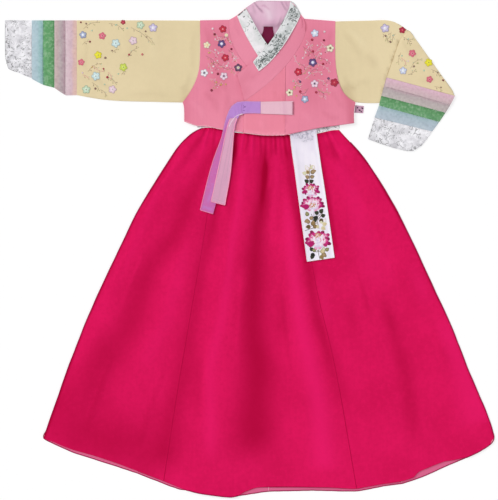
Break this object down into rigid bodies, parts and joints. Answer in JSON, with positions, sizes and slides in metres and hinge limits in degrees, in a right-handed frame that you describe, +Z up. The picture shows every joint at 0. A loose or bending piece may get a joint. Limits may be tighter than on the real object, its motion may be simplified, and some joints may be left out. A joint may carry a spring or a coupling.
{
  "type": "hanbok",
  "caption": "Girl's hanbok laid flat: a short wrapped jacket with striped sleeves, crossed collar, tie and sash over a long gathered skirt, one sleeve folded over.",
  "frame": {"origin": "middle of the laid-out garment's outline, on the surface that it lies on", "axes": "+Z up from the surface, +Y from the hem to the collar, +X to the viewer's right, which is the wearer's left side"},
  "size_m": [0.9302, 0.9414, 0.011],
  "materials": {
    "back_lining": "satin",
    "collar_back": "fine organza over a lining, soft sheen",
    "collar_left": "fine organza over a lining, soft sheen",
    "collar_right": "fine organza over a lining, soft sheen",
    "collar_strip_left": "brocade",
    "collar_strip_right": "brocade",
    "cuff_left": "brocade",
    "cuff_right": "brocade",
    "jacket_back": "fine organza over a lining, soft sheen",
    "jacket_front_left": "fine organza over a lining, soft sheen",
    "jacket_front_right": "fine organza over a lining, soft sheen",
    "neck_label": "woven, plain",
    "overlap_panel": "fine organza over a lining, soft sheen",
    "sash": "satin, embroidered",
    "side_tie": "organza",
    "skirt_back_left": "sheer ramie-like organza, matt",
    "skirt_back_right": "sheer ramie-like organza, matt",
    "skirt_front_middle": "sheer ramie-like organza, matt",
    "skirt_side_left": "sheer ramie-like organza, matt",
    "skirt_side_right": "sheer ramie-like organza, matt",
    "sleeve_left": "organza, embroidered",
    "sleeve_right": "organza, embroidered",
    "stripe_blue_left": "satin organza",
    "stripe_blue_right": "satin organza",
    "stripe_green_left": "satin organza",
    "stripe_green_right": "satin organza",
    "stripe_mauve_left": "satin organza",
    "stripe_mauve_right": "satin organza",
    "stripe_pink_left": "satin organza",
    "stripe_pink_right": "satin organza",
    "tie_band_pink": "organza",
    "tie_lilac": "organza",
    "tie_tail_pink": "organza",
    "waistband": "satin, crinkled weave"
  },
  "bodies": {
    "root": {"back_lining": "back_lining", "collar_back": "collar_back", "collar_left": "collar_left", "collar_right": "collar_right", "collar_strip_left": "collar_strip_left", "collar_strip_right": "collar_strip_right", "cuff_left": "cuff_left", "cuff_right": "cuff_right", "jacket_back": "jacket_back", "jacket_front_left": "jacket_front_left", "jacket_front_right": "jacket_front_right", "neck_label": "neck_label", "overlap_panel": "overlap_panel", "sash": "sash", "side_tie": "side_tie", "skirt_back_left": "skirt_back_left", "skirt_back_right": "skirt_back_right", "skirt_front_middle": "skirt_front_middle", "skirt_side_left": "skirt_side_left", "skirt_side_right": "skirt_side_right", "sleeve_left": "sleeve_left", "sleeve_right": "sleeve_right", "stripe_blue_left": "stripe_blue_left", "stripe_blue_right": "stripe_blue_right", "stripe_green_left": "stripe_green_left", "stripe_green_right": "stripe_green_right", "stripe_mauve_left": "stripe_mauve_left", "stripe_mauve_right": "stripe_mauve_right", "stripe_pink_left": "stripe_pink_left", "stripe_pink_right": "stripe_pink_right", "tie_band_pink": "tie_band_pink", "tie_lilac": "tie_lilac", "tie_tail_pink": "tie_tail_pink", "waistband": "waistband"}
  },
  "joints": []
}
